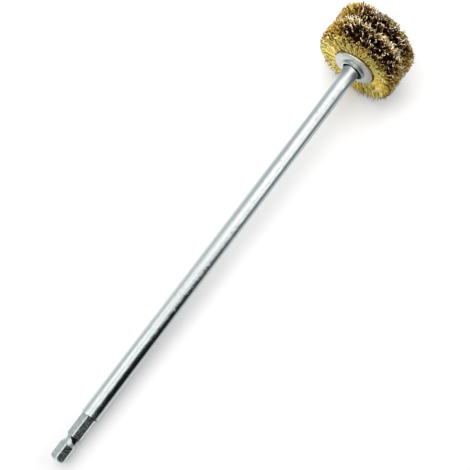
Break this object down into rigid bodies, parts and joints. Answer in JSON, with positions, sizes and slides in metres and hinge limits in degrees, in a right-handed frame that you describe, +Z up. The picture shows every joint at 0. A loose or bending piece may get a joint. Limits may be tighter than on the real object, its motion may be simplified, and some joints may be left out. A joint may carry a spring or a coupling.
{
  "type": "drill wire brush",
  "caption": "Long-reach crimped wire brush for a power drill: a hexagonal drive shank, a round extension rod, and wire rings clamped between stamped plates.",
  "frame": {"origin": "centre of the hex shank's flat end face, on the tool's axis", "axes": "+X along the tool from the hex shank to the wire head, +Z up with a corner of the hexagon straight up, +Y across"},
  "size_m": [0.2479, 0.0434, 0.0432],
  "materials": {
    "shank_steel": "machined, slightly mottled",
    "rod_chrome": "bright plated, fine scuffs along it",
    "hub_steel": "turned and rolled, bright",
    "plate_zinc": "stamped, bright zinc plated",
    "brass_wire": "crimped brass-plated wire, cut ends",
    "fastener_zinc": "bright zinc plated"
  },
  "bodies": {
    "root": {"hex_drive_shank": "shank_steel", "extension_rod": "rod_chrome", "hub_eyelet": "hub_steel", "front_plate": "plate_zinc", "rear_plate": "plate_zinc", "front_wire_ring": "brass_wire", "rear_wire_ring": "brass_wire", "front_retaining_hoop": "hub_steel", "rear_retaining_hoop": "hub_steel", "centre_spacer": "hub_steel", "flat_washer": "fastener_zinc", "lock_washer": "fastener_zinc", "hex_nut": "fastener_zinc"}
  },
  "joints": []
}
